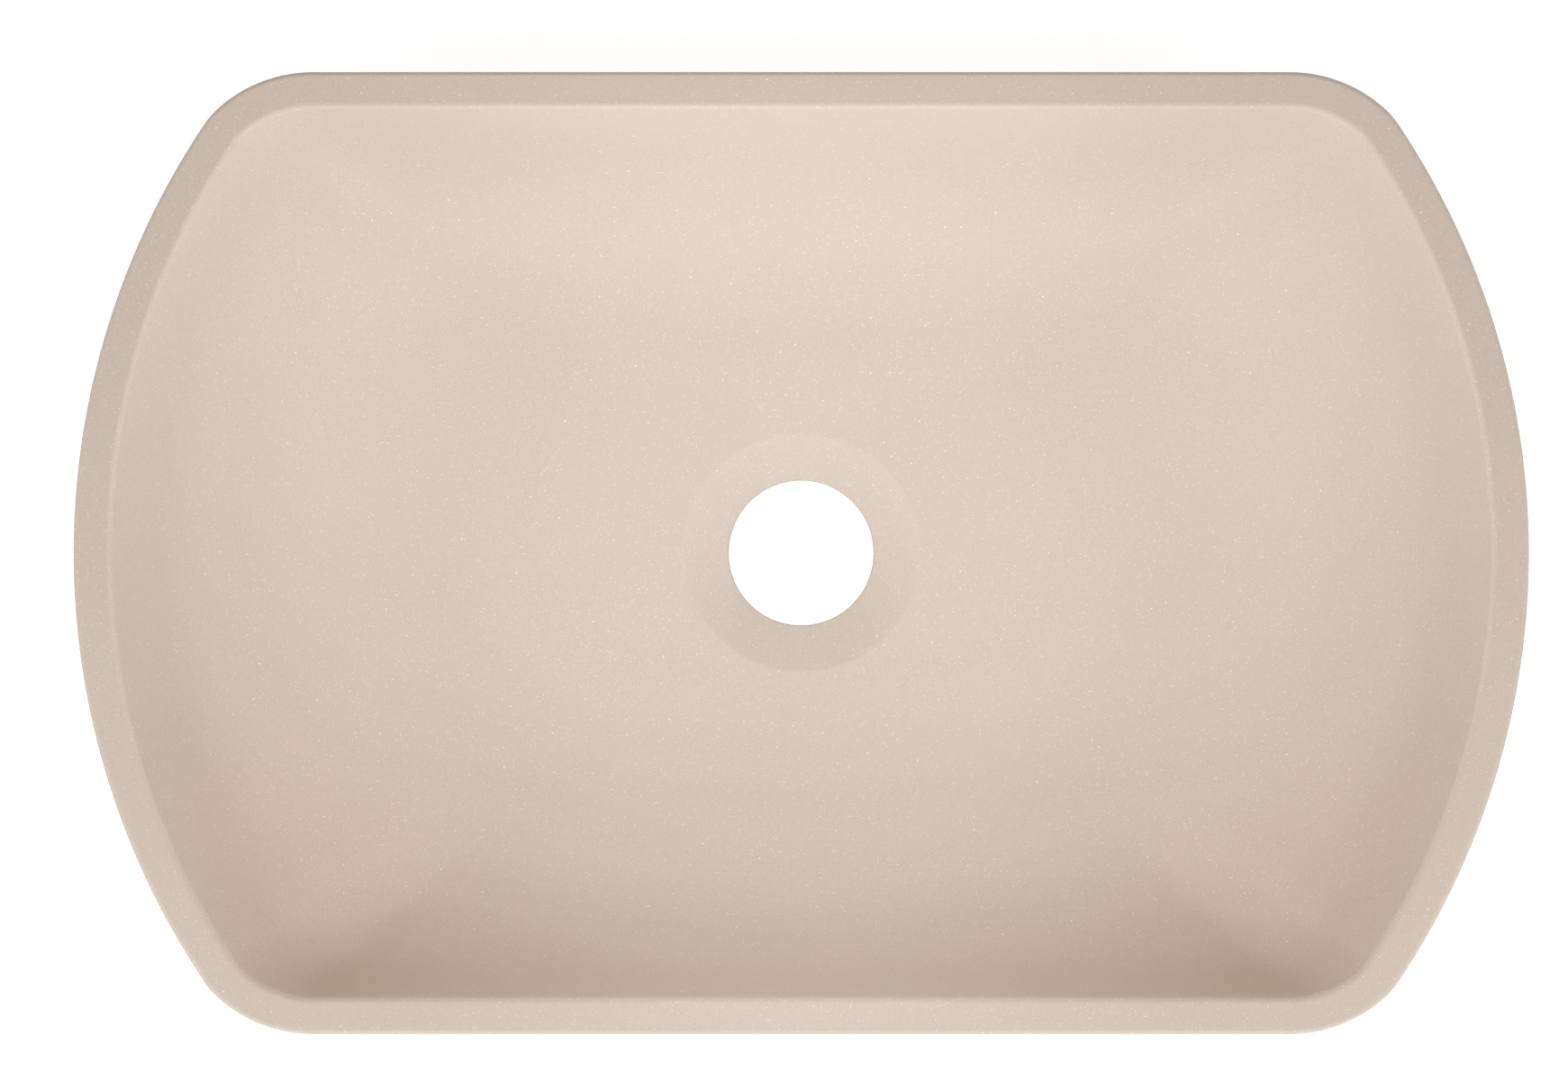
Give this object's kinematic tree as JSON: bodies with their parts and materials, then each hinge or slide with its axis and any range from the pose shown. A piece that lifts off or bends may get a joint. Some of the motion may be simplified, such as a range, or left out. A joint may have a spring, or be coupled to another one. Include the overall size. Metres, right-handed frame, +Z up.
{
  "type": "countertop washbasin",
  "caption": "Shallow countertop washbasin cast in one piece: straight front and back, bowed ends, flat narrow rim, tapered foot on elastomer pads and a conical seat round an open waste hole.",
  "frame": {"origin": "middle of the basin on the surface that it stands on, under the centre of the waste hole", "axes": "+X along the basin's width, -Y towards the user at its front, +Z up"},
  "size_m": [0.46, 0.304, 0.1],
  "materials": {
    "composite": "satin cast mineral composite, sand beige with fine sparse cream grit",
    "pad": "matt black elastomer"
  },
  "bodies": {
    "root": {"basin_body": "composite", "pad_front_left": "pad", "pad_front_right": "pad", "pad_back_left": "pad", "pad_back_right": "pad"}
  },
  "joints": []
}
